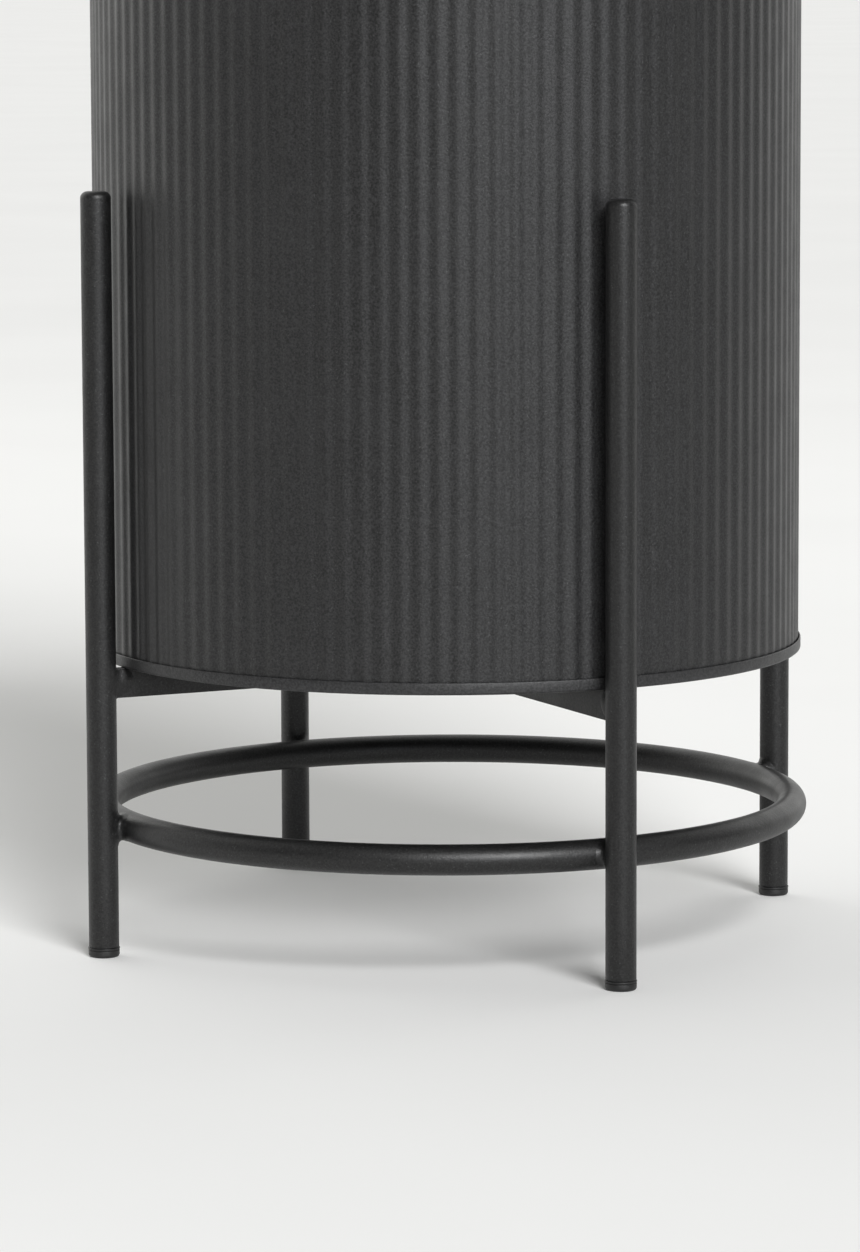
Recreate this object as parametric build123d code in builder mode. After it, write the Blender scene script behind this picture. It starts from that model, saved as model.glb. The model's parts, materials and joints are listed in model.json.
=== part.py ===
"""Round ashtray bin: a ribbed steel drum standing in a four-legged tube stand.

Frame: millimetres, +Z up, origin on the floor at the middle of the stand, -Y is the front.
The drum lifts out of the stand. Its head, ash bowl, grille and liner lift off one after another.
"""
from build123d import *
from math import asin, cos, radians, sin, sqrt
import os

# ---------------------------------------------------------------- driving sizes
# Tube stand
TUBE_DIAMETER = 12.7
TUBE_WALL = 1.5
LEG_HEIGHT = 320.0
LEG_TOP_ROUND = 2.8
LEG_CLEARANCE = 3.0
RING_HEIGHT = 54.0
SEAT_HEIGHT = 121.5
BAR_HEIGHT = 12.5
BAR_THICKNESS = 4.0
BAR_LAP_CLEARANCE = 0.1
WELD_ROOT_GAP = 0.2
RING_WELD_RADIUS = 5.6
BAR_WELD_RADIUS = 4.6
BAR_WELD_DROP = 1.5
CAP_HEAD_HEIGHT = 4.0
CAP_OVERSIZE = 0.25
CAP_EDGE_ROUND = 1.0
CAP_STEM_LENGTH = 16.0
CAP_STEM_CLEARANCE = 0.1

# Drum
DRUM_DIAMETER = 300.0
DRUM_HEIGHT = 478.5
SHEET = 0.8
RIB_COUNT = 120
RIB_DEPTH = 1.0
SEAM_CLEARANCE = 0.2
HEM_HEIGHT = 5.0
PAN_RECESS = 4.0
TOP_RIM_HEIGHT = 8.0
SEAM_BEND = 1.0

# Litter opening in the drum's front
OPENING_WIDTH = 150.0
OPENING_HEIGHT = 76.0
OPENING_DROP = 100.0
OPENING_CORNER = 16.0
FRAME_SHEET = 1.2
FRAME_FLANGE = 10.0
FRAME_DEPTH = 5.0
FRAME_CLEARANCE = 0.2
RIVET_RADIUS = 1.6
RIVET_HEAD_RADIUS = 3.2
RIVET_HEAD_HEIGHT = 1.2
RIVET_CLEARANCE = 0.05

# Head cover
COVER_SHEET = 1.2
COVER_CLEARANCE = 0.7
COVER_SKIRT = 12.0
COVER_RISE = 12.0
COVER_BEND = 1.5
COVER_SHOULDER = 12.0
COVER_SLOPE = 17.7
NECK_DEPTH = 14.0
NOSE_WIDTH = 10.0

# Ash bowl and its grille
BOWL_SHEET = 1.0
BOWL_CLEARANCE = 0.6
BOWL_LIP = 8.0
BOWL_DEPTH = 48.0
BOWL_BEND = 1.2
BOWL_FLOOR_BEND = 12.0
LEDGE_DEPTH = 13.0
LEDGE_WIDTH = 8.0
BOWL_TAPER = 6.0
GRILLE_SHEET = 1.5
GRILLE_CLEARANCE = 0.6
GRILLE_HOLE_RADIUS = 4.5
GRILLE_PITCH = 18.0
GRILLE_EDGE_ROUND = 0.5

# Liner with its bail handle
LINER_DROP = 12.5
BEAD_RADIUS = 3.0
LINER_BASE_RECESS = 3.0
LINER_BASE_FLANGE = 10.0
LINER_BASE_BEND = 2.0
LINER_BASE_CLEARANCE = 0.05
EAR_SHEET = 2.0
EAR_WIDTH = 22.0
EAR_TAB = 22.0
EAR_STEP = 5.0
EAR_GAP = 0.3
EAR_BEND = 2.2
EAR_RIVET_SPACING = 11.0
BAIL_WIRE_RADIUS = 2.5
BAIL_CLEARANCE = 0.3
BAIL_HOLE_CLEARANCE = 0.4
BAIL_END_ANGLE = 5.0
BAIL_BEND = 4.0
BAIL_END_REACH = 2.5
BAIL_END_CLEARANCE = 0.4

# ---------------------------------------------------------------- derived places
TUBE_RADIUS = TUBE_DIAMETER / 2
TUBE_BORE_RADIUS = TUBE_RADIUS - TUBE_WALL
DRUM_RADIUS = DRUM_DIAMETER / 2
SHELL_MEAN_RADIUS = DRUM_RADIUS - RIB_DEPTH / 2
SEAM_OUTER_RADIUS = DRUM_RADIUS + SEAM_CLEARANCE + SHEET
SEAM_INNER_RADIUS = DRUM_RADIUS - RIB_DEPTH - SHEET - SEAM_CLEARANCE - SHEET
LEG_CIRCLE_RADIUS = SEAM_OUTER_RADIUS + LEG_CLEARANCE + TUBE_RADIUS
LEG_FACE_RADIUS = LEG_CIRCLE_RADIUS - TUBE_RADIUS
RING_RADIUS = LEG_FACE_RADIUS - WELD_ROOT_GAP - TUBE_RADIUS
DRUM_TOP = SEAT_HEIGHT + DRUM_HEIGHT
PAN_FLOOR_TOP = SEAT_HEIGHT + PAN_RECESS + SHEET

OPENING_CENTRE = DRUM_TOP - OPENING_DROP
FRAME_NECK_WIDTH = OPENING_WIDTH + 2 * FRAME_SHEET
FRAME_NECK_HEIGHT = OPENING_HEIGHT + 2 * FRAME_SHEET
FRAME_NECK_CORNER = OPENING_CORNER + FRAME_SHEET
FRAME_INNER_RADIUS = DRUM_RADIUS - FRAME_DEPTH
FRAME_FACE_RADIUS = DRUM_RADIUS + FRAME_CLEARANCE / 2
FRAME_OUTER_RADIUS = FRAME_FACE_RADIUS + FRAME_SHEET

SKIRT_RADIUS = SEAM_OUTER_RADIUS + COVER_CLEARANCE
SLOPE_FOOT_RADIUS = SKIRT_RADIUS - COVER_SHOULDER
NOSE_RADIUS = SLOPE_FOOT_RADIUS - COVER_SLOPE
NECK_RADIUS = NOSE_RADIUS - NOSE_WIDTH
NECK_TOP = DRUM_TOP + COVER_RISE
BOWL_SEAT = NECK_TOP + COVER_SHEET
BOWL_RADIUS = NECK_RADIUS - COVER_SHEET - BOWL_CLEARANCE
LEDGE_TOP = BOWL_SEAT - LEDGE_DEPTH + BOWL_SHEET
GRILLE_RADIUS = BOWL_RADIUS - BOWL_SHEET - GRILLE_CLEARANCE
GRILLE_RINGS = int((BOWL_RADIUS - LEDGE_WIDTH - GRILLE_HOLE_RADIUS) / GRILLE_PITCH)

BAIL_TIP = SEAM_INNER_RADIUS - BAIL_END_CLEARANCE
EAR_FACE = BAIL_TIP - BAIL_END_REACH - EAR_SHEET
LINER_RADIUS = EAR_FACE - EAR_GAP - 2 * BEAD_RADIUS
LINER_TOP = OPENING_CENTRE - FRAME_NECK_HEIGHT / 2 - LINER_DROP
BEAD_CIRCLE_RADIUS = LINER_RADIUS + BEAD_RADIUS - SHEET
EAR_BOTTOM = LINER_TOP - 2 * BEAD_RADIUS - EAR_STEP - EAR_TAB
BAIL_HEIGHT = LINER_TOP + BAIL_WIRE_RADIUS + BAIL_CLEARANCE

LEG_ANGLES = {"front_left": 225, "front_right": 315, "rear_right": 45, "rear_left": 135}
BAR_ANGLES = {"cross_bar_slotted_above": 45, "cross_bar_slotted_below": 135}


def polar(radius, angle):
    """Point in a flat sketch, a radius out at an angle."""
    return (radius * cos(radians(angle)), radius * sin(radians(angle)))


def save(part, name):
    """Label a finished piece and write it under the same name."""
    part.label = name
    export_step(part, f"parts/{name}.step")


def sheet_section(points, bend, thickness, side):
    """Section of bent or spun sheet: the line is one face of it, the sheet lies on the given side."""
    with BuildSketch(Plane.XZ) as section:
        with BuildLine():
            FilletPolyline(*points, radius=bend)
            offset(amount=thickness, side=side)
        make_face()
    return section.sketch


def ribbed_disc(mean_radius, height):
    """Disc with a wavy edge: one crest arc and one valley arc for each rib."""
    pitch = 360 / RIB_COUNT
    swing = RIB_DEPTH / 2
    with BuildSketch(Plane.XY.offset(height)) as disc:
        with BuildLine():
            for rib in range(RIB_COUNT):
                crest = rib * pitch
                start = polar(mean_radius, crest - pitch / 4)
                middle = polar(mean_radius, crest + pitch / 4)
                end = polar(mean_radius, crest + pitch * 3 / 4)
                ThreePointArc(start, polar(mean_radius + swing, crest), middle)
                ThreePointArc(middle, polar(mean_radius - swing, crest + pitch / 2), end)
        make_face()
    return disc.sketch


os.makedirs("parts", exist_ok=True)

# ---------------------------------------------------------------- stand
# Each leg is a tube with a closed, rounded top; its foot cap has a head under the tube and a stem inside it.
for corner, angle in LEG_ANGLES.items():
    leg_axis = polar(LEG_CIRCLE_RADIUS, angle)
    with BuildPart() as leg:
        with BuildSketch(Plane.XY.offset(CAP_HEAD_HEIGHT)):
            with Locations(leg_axis):
                Circle(TUBE_RADIUS)
        extrude(amount=LEG_HEIGHT - CAP_HEAD_HEIGHT)
        fillet(leg.edges().group_by(Axis.Z)[-1], LEG_TOP_ROUND)
        with BuildSketch(Plane.XY.offset(CAP_HEAD_HEIGHT)):
            with Locations(leg_axis):
                Circle(TUBE_BORE_RADIUS)
        extrude(amount=LEG_HEIGHT - CAP_HEAD_HEIGHT - LEG_TOP_ROUND, mode=Mode.SUBTRACT)
    save(leg.part, f"{corner}_leg")

    with BuildPart() as foot_cap:
        with BuildSketch():
            with Locations(leg_axis):
                Circle(TUBE_RADIUS + CAP_OVERSIZE)
        extrude(amount=CAP_HEAD_HEIGHT)
        fillet(foot_cap.edges().group_by(Axis.Z)[0], CAP_EDGE_ROUND)
        with BuildSketch(Plane.XY.offset(CAP_HEAD_HEIGHT)):
            with Locations(leg_axis):
                Circle(TUBE_BORE_RADIUS - CAP_STEM_CLEARANCE)
        extrude(amount=CAP_STEM_LENGTH)
    save(foot_cap.part, f"{corner}_foot_cap")

with BuildPart() as base_ring:
    with BuildSketch(Plane.XZ):
        with Locations((RING_RADIUS, RING_HEIGHT)):
            Circle(TUBE_RADIUS)
            Circle(TUBE_BORE_RADIUS, mode=Mode.SUBTRACT)
    revolve(axis=Axis.Z)
save(base_ring.part, "base_ring")

# Each bar runs from leg to leg, coped to their round sides, and is notched half way where the two cross.
for name, angle in BAR_ANGLES.items():
    slotted_above = name.endswith("above")
    slot_middle = SEAT_HEIGHT - BAR_HEIGHT / 4 if slotted_above else SEAT_HEIGHT - BAR_HEIGHT * 3 / 4
    with BuildPart(Plane.XY.rotated((0, 0, angle))) as cross_bar:
        with Locations((0, 0, SEAT_HEIGHT - BAR_HEIGHT / 2)):
            Box(2 * LEG_CIRCLE_RADIUS, BAR_THICKNESS, BAR_HEIGHT)
        with Locations((0, 0, slot_middle)):
            Box(BAR_THICKNESS + 2 * BAR_LAP_CLEARANCE, 2 * BAR_THICKNESS, BAR_HEIGHT / 2, mode=Mode.SUBTRACT)
        with Locations((LEG_CIRCLE_RADIUS, 0, SEAT_HEIGHT), (-LEG_CIRCLE_RADIUS, 0, SEAT_HEIGHT)):
            Cylinder(TUBE_RADIUS, 4 * BAR_HEIGHT, mode=Mode.SUBTRACT)
    save(cross_bar.part, name)

with BuildPart() as ring_welds:
    with Locations(*[(*polar(LEG_FACE_RADIUS, angle), RING_HEIGHT) for angle in LEG_ANGLES.values()]):
        Sphere(RING_WELD_RADIUS)
    with Locations(*[polar(LEG_CIRCLE_RADIUS, angle) for angle in LEG_ANGLES.values()]):
        Cylinder(TUBE_RADIUS, LEG_HEIGHT, mode=Mode.SUBTRACT)
    with Locations((0, 0, RING_HEIGHT)):
        Torus(RING_RADIUS, TUBE_RADIUS, mode=Mode.SUBTRACT)
save(ring_welds.part, "ring_welds")

with BuildPart() as bar_welds:
    with BuildSketch(Plane.XY.offset(SEAT_HEIGHT - BAR_HEIGHT - BAR_WELD_DROP)):
        with Locations(*[polar(LEG_FACE_RADIUS, angle) for angle in LEG_ANGLES.values()]):
            Circle(BAR_WELD_RADIUS)
    extrude(amount=BAR_HEIGHT)
    fillet(bar_welds.edges().filter_by(GeomType.CIRCLE), BAR_WELD_DROP)
    with Locations(*[polar(LEG_CIRCLE_RADIUS, angle) for angle in LEG_ANGLES.values()]):
        Cylinder(TUBE_RADIUS, LEG_HEIGHT, mode=Mode.SUBTRACT)
    for angle in BAR_ANGLES.values():
        with Locations(Location((0, 0, SEAT_HEIGHT - BAR_HEIGHT / 2), (0, 0, angle))):
            Box(2 * LEG_CIRCLE_RADIUS, BAR_THICKNESS, BAR_HEIGHT, mode=Mode.SUBTRACT)
save(bar_welds.part, "bar_welds")

# ---------------------------------------------------------------- drum
# Rivets in the middle of the frame's flange: one at each end, two above the opening and two below it.
RIVET_SPREAD = FRAME_NECK_WIDTH / 2 + FRAME_FLANGE / 2
RIVET_RISE = FRAME_NECK_HEIGHT / 2 + FRAME_FLANGE / 2
RIVET_ACROSS = FRAME_NECK_WIDTH / 3
RIVET_PLACES = [
    (-RIVET_SPREAD, OPENING_CENTRE),
    (RIVET_SPREAD, OPENING_CENTRE),
    (-RIVET_ACROSS, OPENING_CENTRE - RIVET_RISE),
    (RIVET_ACROSS, OPENING_CENTRE - RIVET_RISE),
    (-RIVET_ACROSS, OPENING_CENTRE + RIVET_RISE),
    (RIVET_ACROSS, OPENING_CENTRE + RIVET_RISE),
]


def seat_inside(wall_radius):
    """Distance from the bin's axis at which a rivet's flat inner head meets a round wall."""
    return sqrt(wall_radius**2 - RIVET_HEAD_RADIUS**2)


def rivet_axis(across, height, outward):
    """Plane square to the drum's wall at a rivet, facing outwards, a distance from the bin's axis."""
    turn = asin(across / DRUM_RADIUS)
    direction = Vector(sin(turn), -cos(turn), 0)
    return Plane(origin=direction * outward + Vector(0, 0, height), z_dir=direction)


with BuildPart() as drum_shell:
    shell_bottom = SEAT_HEIGHT + SHEET
    shell_height = DRUM_HEIGHT - 2 * SHEET
    extrude(ribbed_disc(SHELL_MEAN_RADIUS, shell_bottom), amount=shell_height)
    extrude(ribbed_disc(SHELL_MEAN_RADIUS - SHEET, shell_bottom), amount=shell_height, mode=Mode.SUBTRACT)
    with BuildSketch(Plane.XZ):
        with Locations((0, OPENING_CENTRE)):
            RectangleRounded(
                FRAME_NECK_WIDTH + 2 * FRAME_CLEARANCE,
                FRAME_NECK_HEIGHT + 2 * FRAME_CLEARANCE,
                FRAME_NECK_CORNER + FRAME_CLEARANCE,
            )
    extrude(amount=2 * DRUM_RADIUS, mode=Mode.SUBTRACT)
    for across, height in RIVET_PLACES:
        with BuildSketch(rivet_axis(across, height, 0)):
            Circle(RIVET_RADIUS + RIVET_CLEARANCE)
        extrude(amount=2 * DRUM_RADIUS, mode=Mode.SUBTRACT)
save(drum_shell.part, "drum_shell")

with BuildPart() as base_pan:
    floor_under = SEAT_HEIGHT + PAN_RECESS
    section = sheet_section(
        [
            (0, floor_under),
            (SEAM_INNER_RADIUS, floor_under),
            (SEAM_INNER_RADIUS, SEAT_HEIGHT),
            (SEAM_OUTER_RADIUS, SEAT_HEIGHT),
            (SEAM_OUTER_RADIUS, SEAT_HEIGHT + HEM_HEIGHT),
        ],
        SEAM_BEND,
        SHEET,
        Side.LEFT,
    )
    revolve(section, axis=Axis.Z)
save(base_pan.part, "base_pan")

with BuildPart() as top_rim:
    section = sheet_section(
        [
            (SEAM_INNER_RADIUS, DRUM_TOP - TOP_RIM_HEIGHT),
            (SEAM_INNER_RADIUS, DRUM_TOP),
            (SEAM_OUTER_RADIUS, DRUM_TOP),
            (SEAM_OUTER_RADIUS, DRUM_TOP - TOP_RIM_HEIGHT),
        ],
        SEAM_BEND,
        SHEET,
        Side.RIGHT,
    )
    revolve(section, axis=Axis.Z)
save(top_rim.part, "top_rim")

# The pressed frame: a neck through the sheet, and a flange that lies on the ribs.
with BuildPart() as frame_neck:
    with BuildSketch(Plane.XZ):
        with Locations((0, OPENING_CENTRE)):
            RectangleRounded(FRAME_NECK_WIDTH, FRAME_NECK_HEIGHT, FRAME_NECK_CORNER)
    extrude(amount=2 * DRUM_RADIUS)
    with BuildSketch(Plane.XY.offset(OPENING_CENTRE - OPENING_HEIGHT)):
        Circle(FRAME_FACE_RADIUS)
        Circle(FRAME_INNER_RADIUS, mode=Mode.SUBTRACT)
    extrude(amount=2 * OPENING_HEIGHT, mode=Mode.INTERSECT)

with BuildPart() as opening_frame:
    with BuildSketch(Plane.XZ):
        with Locations((0, OPENING_CENTRE)):
            RectangleRounded(
                FRAME_NECK_WIDTH + 2 * FRAME_FLANGE,
                FRAME_NECK_HEIGHT + 2 * FRAME_FLANGE,
                FRAME_NECK_CORNER + FRAME_FLANGE,
            )
    extrude(amount=2 * DRUM_RADIUS)
    with BuildSketch(Plane.XY.offset(OPENING_CENTRE - OPENING_HEIGHT)):
        Circle(FRAME_OUTER_RADIUS)
        Circle(FRAME_FACE_RADIUS, mode=Mode.SUBTRACT)
    extrude(amount=2 * OPENING_HEIGHT, mode=Mode.INTERSECT)
    add(frame_neck.part)
    with BuildSketch(Plane.XZ):
        with Locations((0, OPENING_CENTRE)):
            RectangleRounded(OPENING_WIDTH, OPENING_HEIGHT, OPENING_CORNER)
    extrude(amount=2 * DRUM_RADIUS, mode=Mode.SUBTRACT)
    for across, height in RIVET_PLACES:
        with BuildSketch(rivet_axis(across, height, 0)):
            Circle(RIVET_RADIUS + RIVET_CLEARANCE)
        extrude(amount=2 * DRUM_RADIUS, mode=Mode.SUBTRACT)
save(opening_frame.part, "opening_frame")

with BuildPart() as frame_rivets:
    inner_face = seat_inside(DRUM_RADIUS - RIB_DEPTH - SHEET)
    for across, height in RIVET_PLACES:
        with BuildSketch(rivet_axis(across, height, inner_face - RIVET_HEAD_HEIGHT)):
            Circle(RIVET_HEAD_RADIUS)
        extrude(amount=RIVET_HEAD_HEIGHT)
        with BuildSketch(rivet_axis(across, height, inner_face)):
            Circle(RIVET_RADIUS)
        extrude(amount=FRAME_OUTER_RADIUS - inner_face)
        with BuildSketch(rivet_axis(across, height, FRAME_OUTER_RADIUS)):
            Circle(RIVET_HEAD_RADIUS)
        extrude(amount=RIVET_HEAD_HEIGHT)
save(frame_rivets.part, "frame_rivets")

# ---------------------------------------------------------------- head
with BuildPart() as head_cover:
    section = sheet_section(
        [
            (SKIRT_RADIUS, DRUM_TOP - COVER_SKIRT),
            (SKIRT_RADIUS, DRUM_TOP),
            (SLOPE_FOOT_RADIUS, DRUM_TOP),
            (NOSE_RADIUS, NECK_TOP),
            (NECK_RADIUS, NECK_TOP),
            (NECK_RADIUS, NECK_TOP - NECK_DEPTH),
        ],
        COVER_BEND,
        COVER_SHEET,
        Side.RIGHT,
    )
    revolve(section, axis=Axis.Z)
save(head_cover.part, "head_cover")

with BuildPart() as ash_bowl:
    ledge_under = BOWL_SEAT - LEDGE_DEPTH
    floor_edge = BOWL_RADIUS - LEDGE_WIDTH - BOWL_TAPER
    bowl_floor = BOWL_SEAT - BOWL_DEPTH
    section = sheet_section(
        [
            (BOWL_RADIUS + BOWL_LIP, BOWL_SEAT),
            (BOWL_RADIUS, BOWL_SEAT),
            (BOWL_RADIUS, ledge_under),
            (BOWL_RADIUS - LEDGE_WIDTH, ledge_under),
            (floor_edge, bowl_floor),
            (0, bowl_floor),
        ],
        [BOWL_BEND, BOWL_BEND, BOWL_BEND, BOWL_FLOOR_BEND],
        BOWL_SHEET,
        Side.RIGHT,
    )
    revolve(section, axis=Axis.Z)
save(ash_bowl.part, "ash_bowl")

with BuildPart() as stub_grille:
    with BuildSketch(Plane.XY.offset(LEDGE_TOP)):
        Circle(GRILLE_RADIUS)
        Circle(GRILLE_HOLE_RADIUS, mode=Mode.SUBTRACT)
        for ring in range(1, GRILLE_RINGS + 1):
            with PolarLocations(ring * GRILLE_PITCH, 6 * ring):
                Circle(GRILLE_HOLE_RADIUS, mode=Mode.SUBTRACT)
    extrude(amount=GRILLE_SHEET)
    fillet(stub_grille.edges().group_by(Axis.Z)[-1].sort_by(SortBy.LENGTH)[-1], GRILLE_EDGE_ROUND)
save(stub_grille.part, "stub_grille")

# ---------------------------------------------------------------- liner
EAR_RIVET_HEIGHTS = [
    EAR_BOTTOM + EAR_TAB / 2 - EAR_RIVET_SPACING / 2,
    EAR_BOTTOM + EAR_TAB / 2 + EAR_RIVET_SPACING / 2,
]

with BuildPart() as liner_wall:
    with BuildSketch(Plane.XY.offset(PAN_FLOOR_TOP)):
        Circle(LINER_RADIUS)
    extrude(amount=LINER_TOP - BEAD_RADIUS - PAN_FLOOR_TOP)
    with BuildSketch(Plane.XZ):
        with Locations((BEAD_CIRCLE_RADIUS, LINER_TOP - BEAD_RADIUS)):
            Circle(BEAD_RADIUS)
    revolve(axis=Axis.Z)
    with BuildSketch(Plane.XY.offset(PAN_FLOOR_TOP)):
        Circle(LINER_RADIUS - SHEET)
    extrude(amount=LINER_TOP - PAN_FLOOR_TOP, mode=Mode.SUBTRACT)
    for height in EAR_RIVET_HEIGHTS:
        with BuildSketch(Plane.YZ.offset(-2 * LINER_RADIUS)):
            with Locations((0, height)):
                Circle(RIVET_RADIUS + RIVET_CLEARANCE)
        extrude(amount=4 * LINER_RADIUS, mode=Mode.SUBTRACT)
save(liner_wall.part, "liner_wall")

with BuildPart() as liner_base:
    base_under = PAN_FLOOR_TOP + LINER_BASE_RECESS
    base_radius = LINER_RADIUS - SHEET - LINER_BASE_CLEARANCE
    section = sheet_section(
        [(0, base_under), (base_radius, base_under), (base_radius, base_under + LINER_BASE_FLANGE)],
        LINER_BASE_BEND,
        SHEET,
        Side.LEFT,
    )
    revolve(section, axis=Axis.Z)
save(liner_base.part, "liner_base")

# Each ear is riveted to the wall below the bead, steps out past it and ends in the bail's hole.
with BuildPart() as bail_ears:
    tab_top = EAR_BOTTOM + EAR_TAB
    with BuildSketch(Plane.XZ.offset(-EAR_WIDTH / 2)):
        with BuildLine():
            FilletPolyline(
                (LINER_RADIUS, EAR_BOTTOM),
                (LINER_RADIUS, tab_top),
                (EAR_FACE, tab_top + EAR_STEP),
                (EAR_FACE, BAIL_HEIGHT + EAR_WIDTH / 2),
                radius=EAR_BEND,
            )
            offset(amount=EAR_SHEET, side=Side.RIGHT)
        make_face()
    extrude(amount=EAR_WIDTH)
    fillet(bail_ears.edges().filter_by(Axis.X).group_by(Axis.Z)[-1], EAR_WIDTH / 2 - EAR_BEND)
    with BuildSketch(Plane.YZ):
        with Locations((0, BAIL_HEIGHT)):
            Circle(BAIL_WIRE_RADIUS + BAIL_HOLE_CLEARANCE)
        for height in EAR_RIVET_HEIGHTS:
            with Locations((0, height)):
                Circle(RIVET_RADIUS + RIVET_CLEARANCE)
    extrude(amount=2 * LINER_RADIUS, mode=Mode.SUBTRACT)
    mirror(about=Plane.YZ)
save(bail_ears.part, "bail_ears")

with BuildPart() as ear_rivets:
    wall_face = seat_inside(LINER_RADIUS - SHEET)
    for height in EAR_RIVET_HEIGHTS:
        with BuildSketch(Plane.YZ.offset(wall_face - RIVET_HEAD_HEIGHT)):
            with Locations((0, height)):
                Circle(RIVET_HEAD_RADIUS)
        extrude(amount=RIVET_HEAD_HEIGHT)
        with BuildSketch(Plane.YZ.offset(wall_face)):
            with Locations((0, height)):
                Circle(RIVET_RADIUS)
        extrude(amount=LINER_RADIUS + EAR_SHEET - wall_face)
        with BuildSketch(Plane.YZ.offset(LINER_RADIUS + EAR_SHEET)):
            with Locations((0, height)):
                Circle(RIVET_HEAD_RADIUS)
        extrude(amount=RIVET_HEAD_HEIGHT)
    mirror(about=Plane.YZ)
save(ear_rivets.part, "ear_rivets")

# The bail lies on the bead round the back of the liner; its ends turn out through the ears.
with BuildPart() as bail:
    end_x, end_y = polar(BEAD_CIRCLE_RADIUS, BAIL_END_ANGLE)
    corner_x = BEAD_CIRCLE_RADIUS / cos(radians(BAIL_END_ANGLE))
    with BuildLine(Plane.XY.offset(BAIL_HEIGHT)):
        FilletPolyline((BAIL_TIP, 0), (corner_x, 0), (end_x, end_y), radius=BAIL_BEND)
        ThreePointArc((end_x, end_y), (0, BEAD_CIRCLE_RADIUS), (-end_x, end_y))
        FilletPolyline((-end_x, end_y), (-corner_x, 0), (-BAIL_TIP, 0), radius=BAIL_BEND)
    with BuildSketch(Plane.YZ.offset(BAIL_TIP)):
        with Locations((0, BAIL_HEIGHT)):
            Circle(BAIL_WIRE_RADIUS)
    sweep()
save(bail.part, "bail")
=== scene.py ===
"""Looks of the round ashtray bin: ribbed powder-coated drum, tube stand, head, ash bowl, grille and liner.

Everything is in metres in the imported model's own frame: +Z up, origin on the floor, -Y is the front.
"""
import bpy
import bmesh
import json
import math
import numpy as np
from mathutils import Matrix, Vector


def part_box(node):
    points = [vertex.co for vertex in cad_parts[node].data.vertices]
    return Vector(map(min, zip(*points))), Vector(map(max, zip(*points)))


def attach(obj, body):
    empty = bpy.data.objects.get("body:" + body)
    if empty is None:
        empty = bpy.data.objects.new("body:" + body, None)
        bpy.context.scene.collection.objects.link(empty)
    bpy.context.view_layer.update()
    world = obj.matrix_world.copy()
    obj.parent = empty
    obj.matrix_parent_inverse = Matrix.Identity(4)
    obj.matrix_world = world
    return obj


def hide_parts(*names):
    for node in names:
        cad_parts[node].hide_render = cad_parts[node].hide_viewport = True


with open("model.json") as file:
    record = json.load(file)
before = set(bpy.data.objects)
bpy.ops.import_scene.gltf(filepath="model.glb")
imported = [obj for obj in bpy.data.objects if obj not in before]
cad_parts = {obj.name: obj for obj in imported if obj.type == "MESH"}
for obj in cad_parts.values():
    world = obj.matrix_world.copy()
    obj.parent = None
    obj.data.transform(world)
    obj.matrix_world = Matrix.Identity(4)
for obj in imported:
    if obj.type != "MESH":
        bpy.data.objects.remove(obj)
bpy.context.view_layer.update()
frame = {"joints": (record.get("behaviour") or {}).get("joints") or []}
MM = 0.001
CORNERS = {"front_left": 225, "front_right": 315, "rear_right": 45, "rear_left": 135}

# ---------------------------------------------------------------- sizes, read from the frame
ring_low, ring_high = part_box("base_ring")
pan_low, pan_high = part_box("base_pan")
shell_low, shell_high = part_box("drum_shell")
rim_low, rim_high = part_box("top_rim")
cover_low, cover_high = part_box("head_cover")
bowl_low, bowl_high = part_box("ash_bowl")
grille_low, grille_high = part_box("stub_grille")
wall_low, wall_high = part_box("liner_wall")
base_low, base_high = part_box("liner_base")
frame_low, frame_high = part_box("opening_frame")
ear_low, ear_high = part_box("bail_ears")
bail_low, bail_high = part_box("bail")
leg_low, leg_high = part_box("front_right_leg")
cap_low, cap_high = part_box("front_right_foot_cap")

TUBE_RADIUS = (ring_high.z - ring_low.z) / 2
RING_HEIGHT = (ring_high.z + ring_low.z) / 2
RING_RADIUS = ring_high.x - TUBE_RADIUS
LEG_CIRCLE = math.hypot(leg_high.x - TUBE_RADIUS, leg_low.y + TUBE_RADIUS)
LEG_BOTTOM = leg_low.z
LEG_TOP = leg_high.z
SEAT = pan_low.z
DRUM_RADIUS = shell_high.x
DRUM_TOP = rim_high.z
HEM_RADIUS = pan_high.x
PIVOT = Vector(next(j["pos_m"] for j in frame["joints"] if j["name"] == "bail_swing"))

# ---------------------------------------------------------------- sheet, opening and section sizes
# The ribs are shallower than the CAD's, as faint as their stripes look; their crests have the same radius.
SHEET = 0.8 * MM
RIB_COUNT = 120
RIB_DEPTH = 0.5 * MM
OPENING_WIDTH = 150 * MM
OPENING_HEIGHT = 76 * MM
OPENING_CORNER = 16 * MM
FRAME_SHEET = 1.2 * MM
FRAME_FLANGE = 10 * MM
FRAME_LIFT = 1.3 * MM
FRAME_FACE = DRUM_RADIUS + FRAME_LIFT
BAR_HEIGHT = 12.5 * MM
BAR_THICKNESS = 4 * MM
NECK_RADIUS = 112 * MM
COVER_SHEET = 1.2 * MM
BOWL_SHEET = 1.0 * MM
GRILLE_HOLE = 4.5 * MM
GRILLE_PITCH = 18 * MM
GRILLE_RINGS = 5
BEAD_RADIUS = 3 * MM
LINER_RADIUS = wall_high.x + SHEET - 2 * BEAD_RADIUS
WIRE_RADIUS = (bail_high.z - bail_low.z) / 2


# ---------------------------------------------------------------- mesh tools
def polar(radius, degrees):
    """Flat point a radius out at an angle."""
    return (radius * math.cos(math.radians(degrees)), radius * math.sin(math.radians(degrees)))


def smoothed(mesh, sharp):
    """Mesh shaded smooth up to the sharp angle in degrees."""
    mesh.shade_smooth()
    mesh.set_sharp_from_angle(angle=math.radians(sharp))


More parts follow.
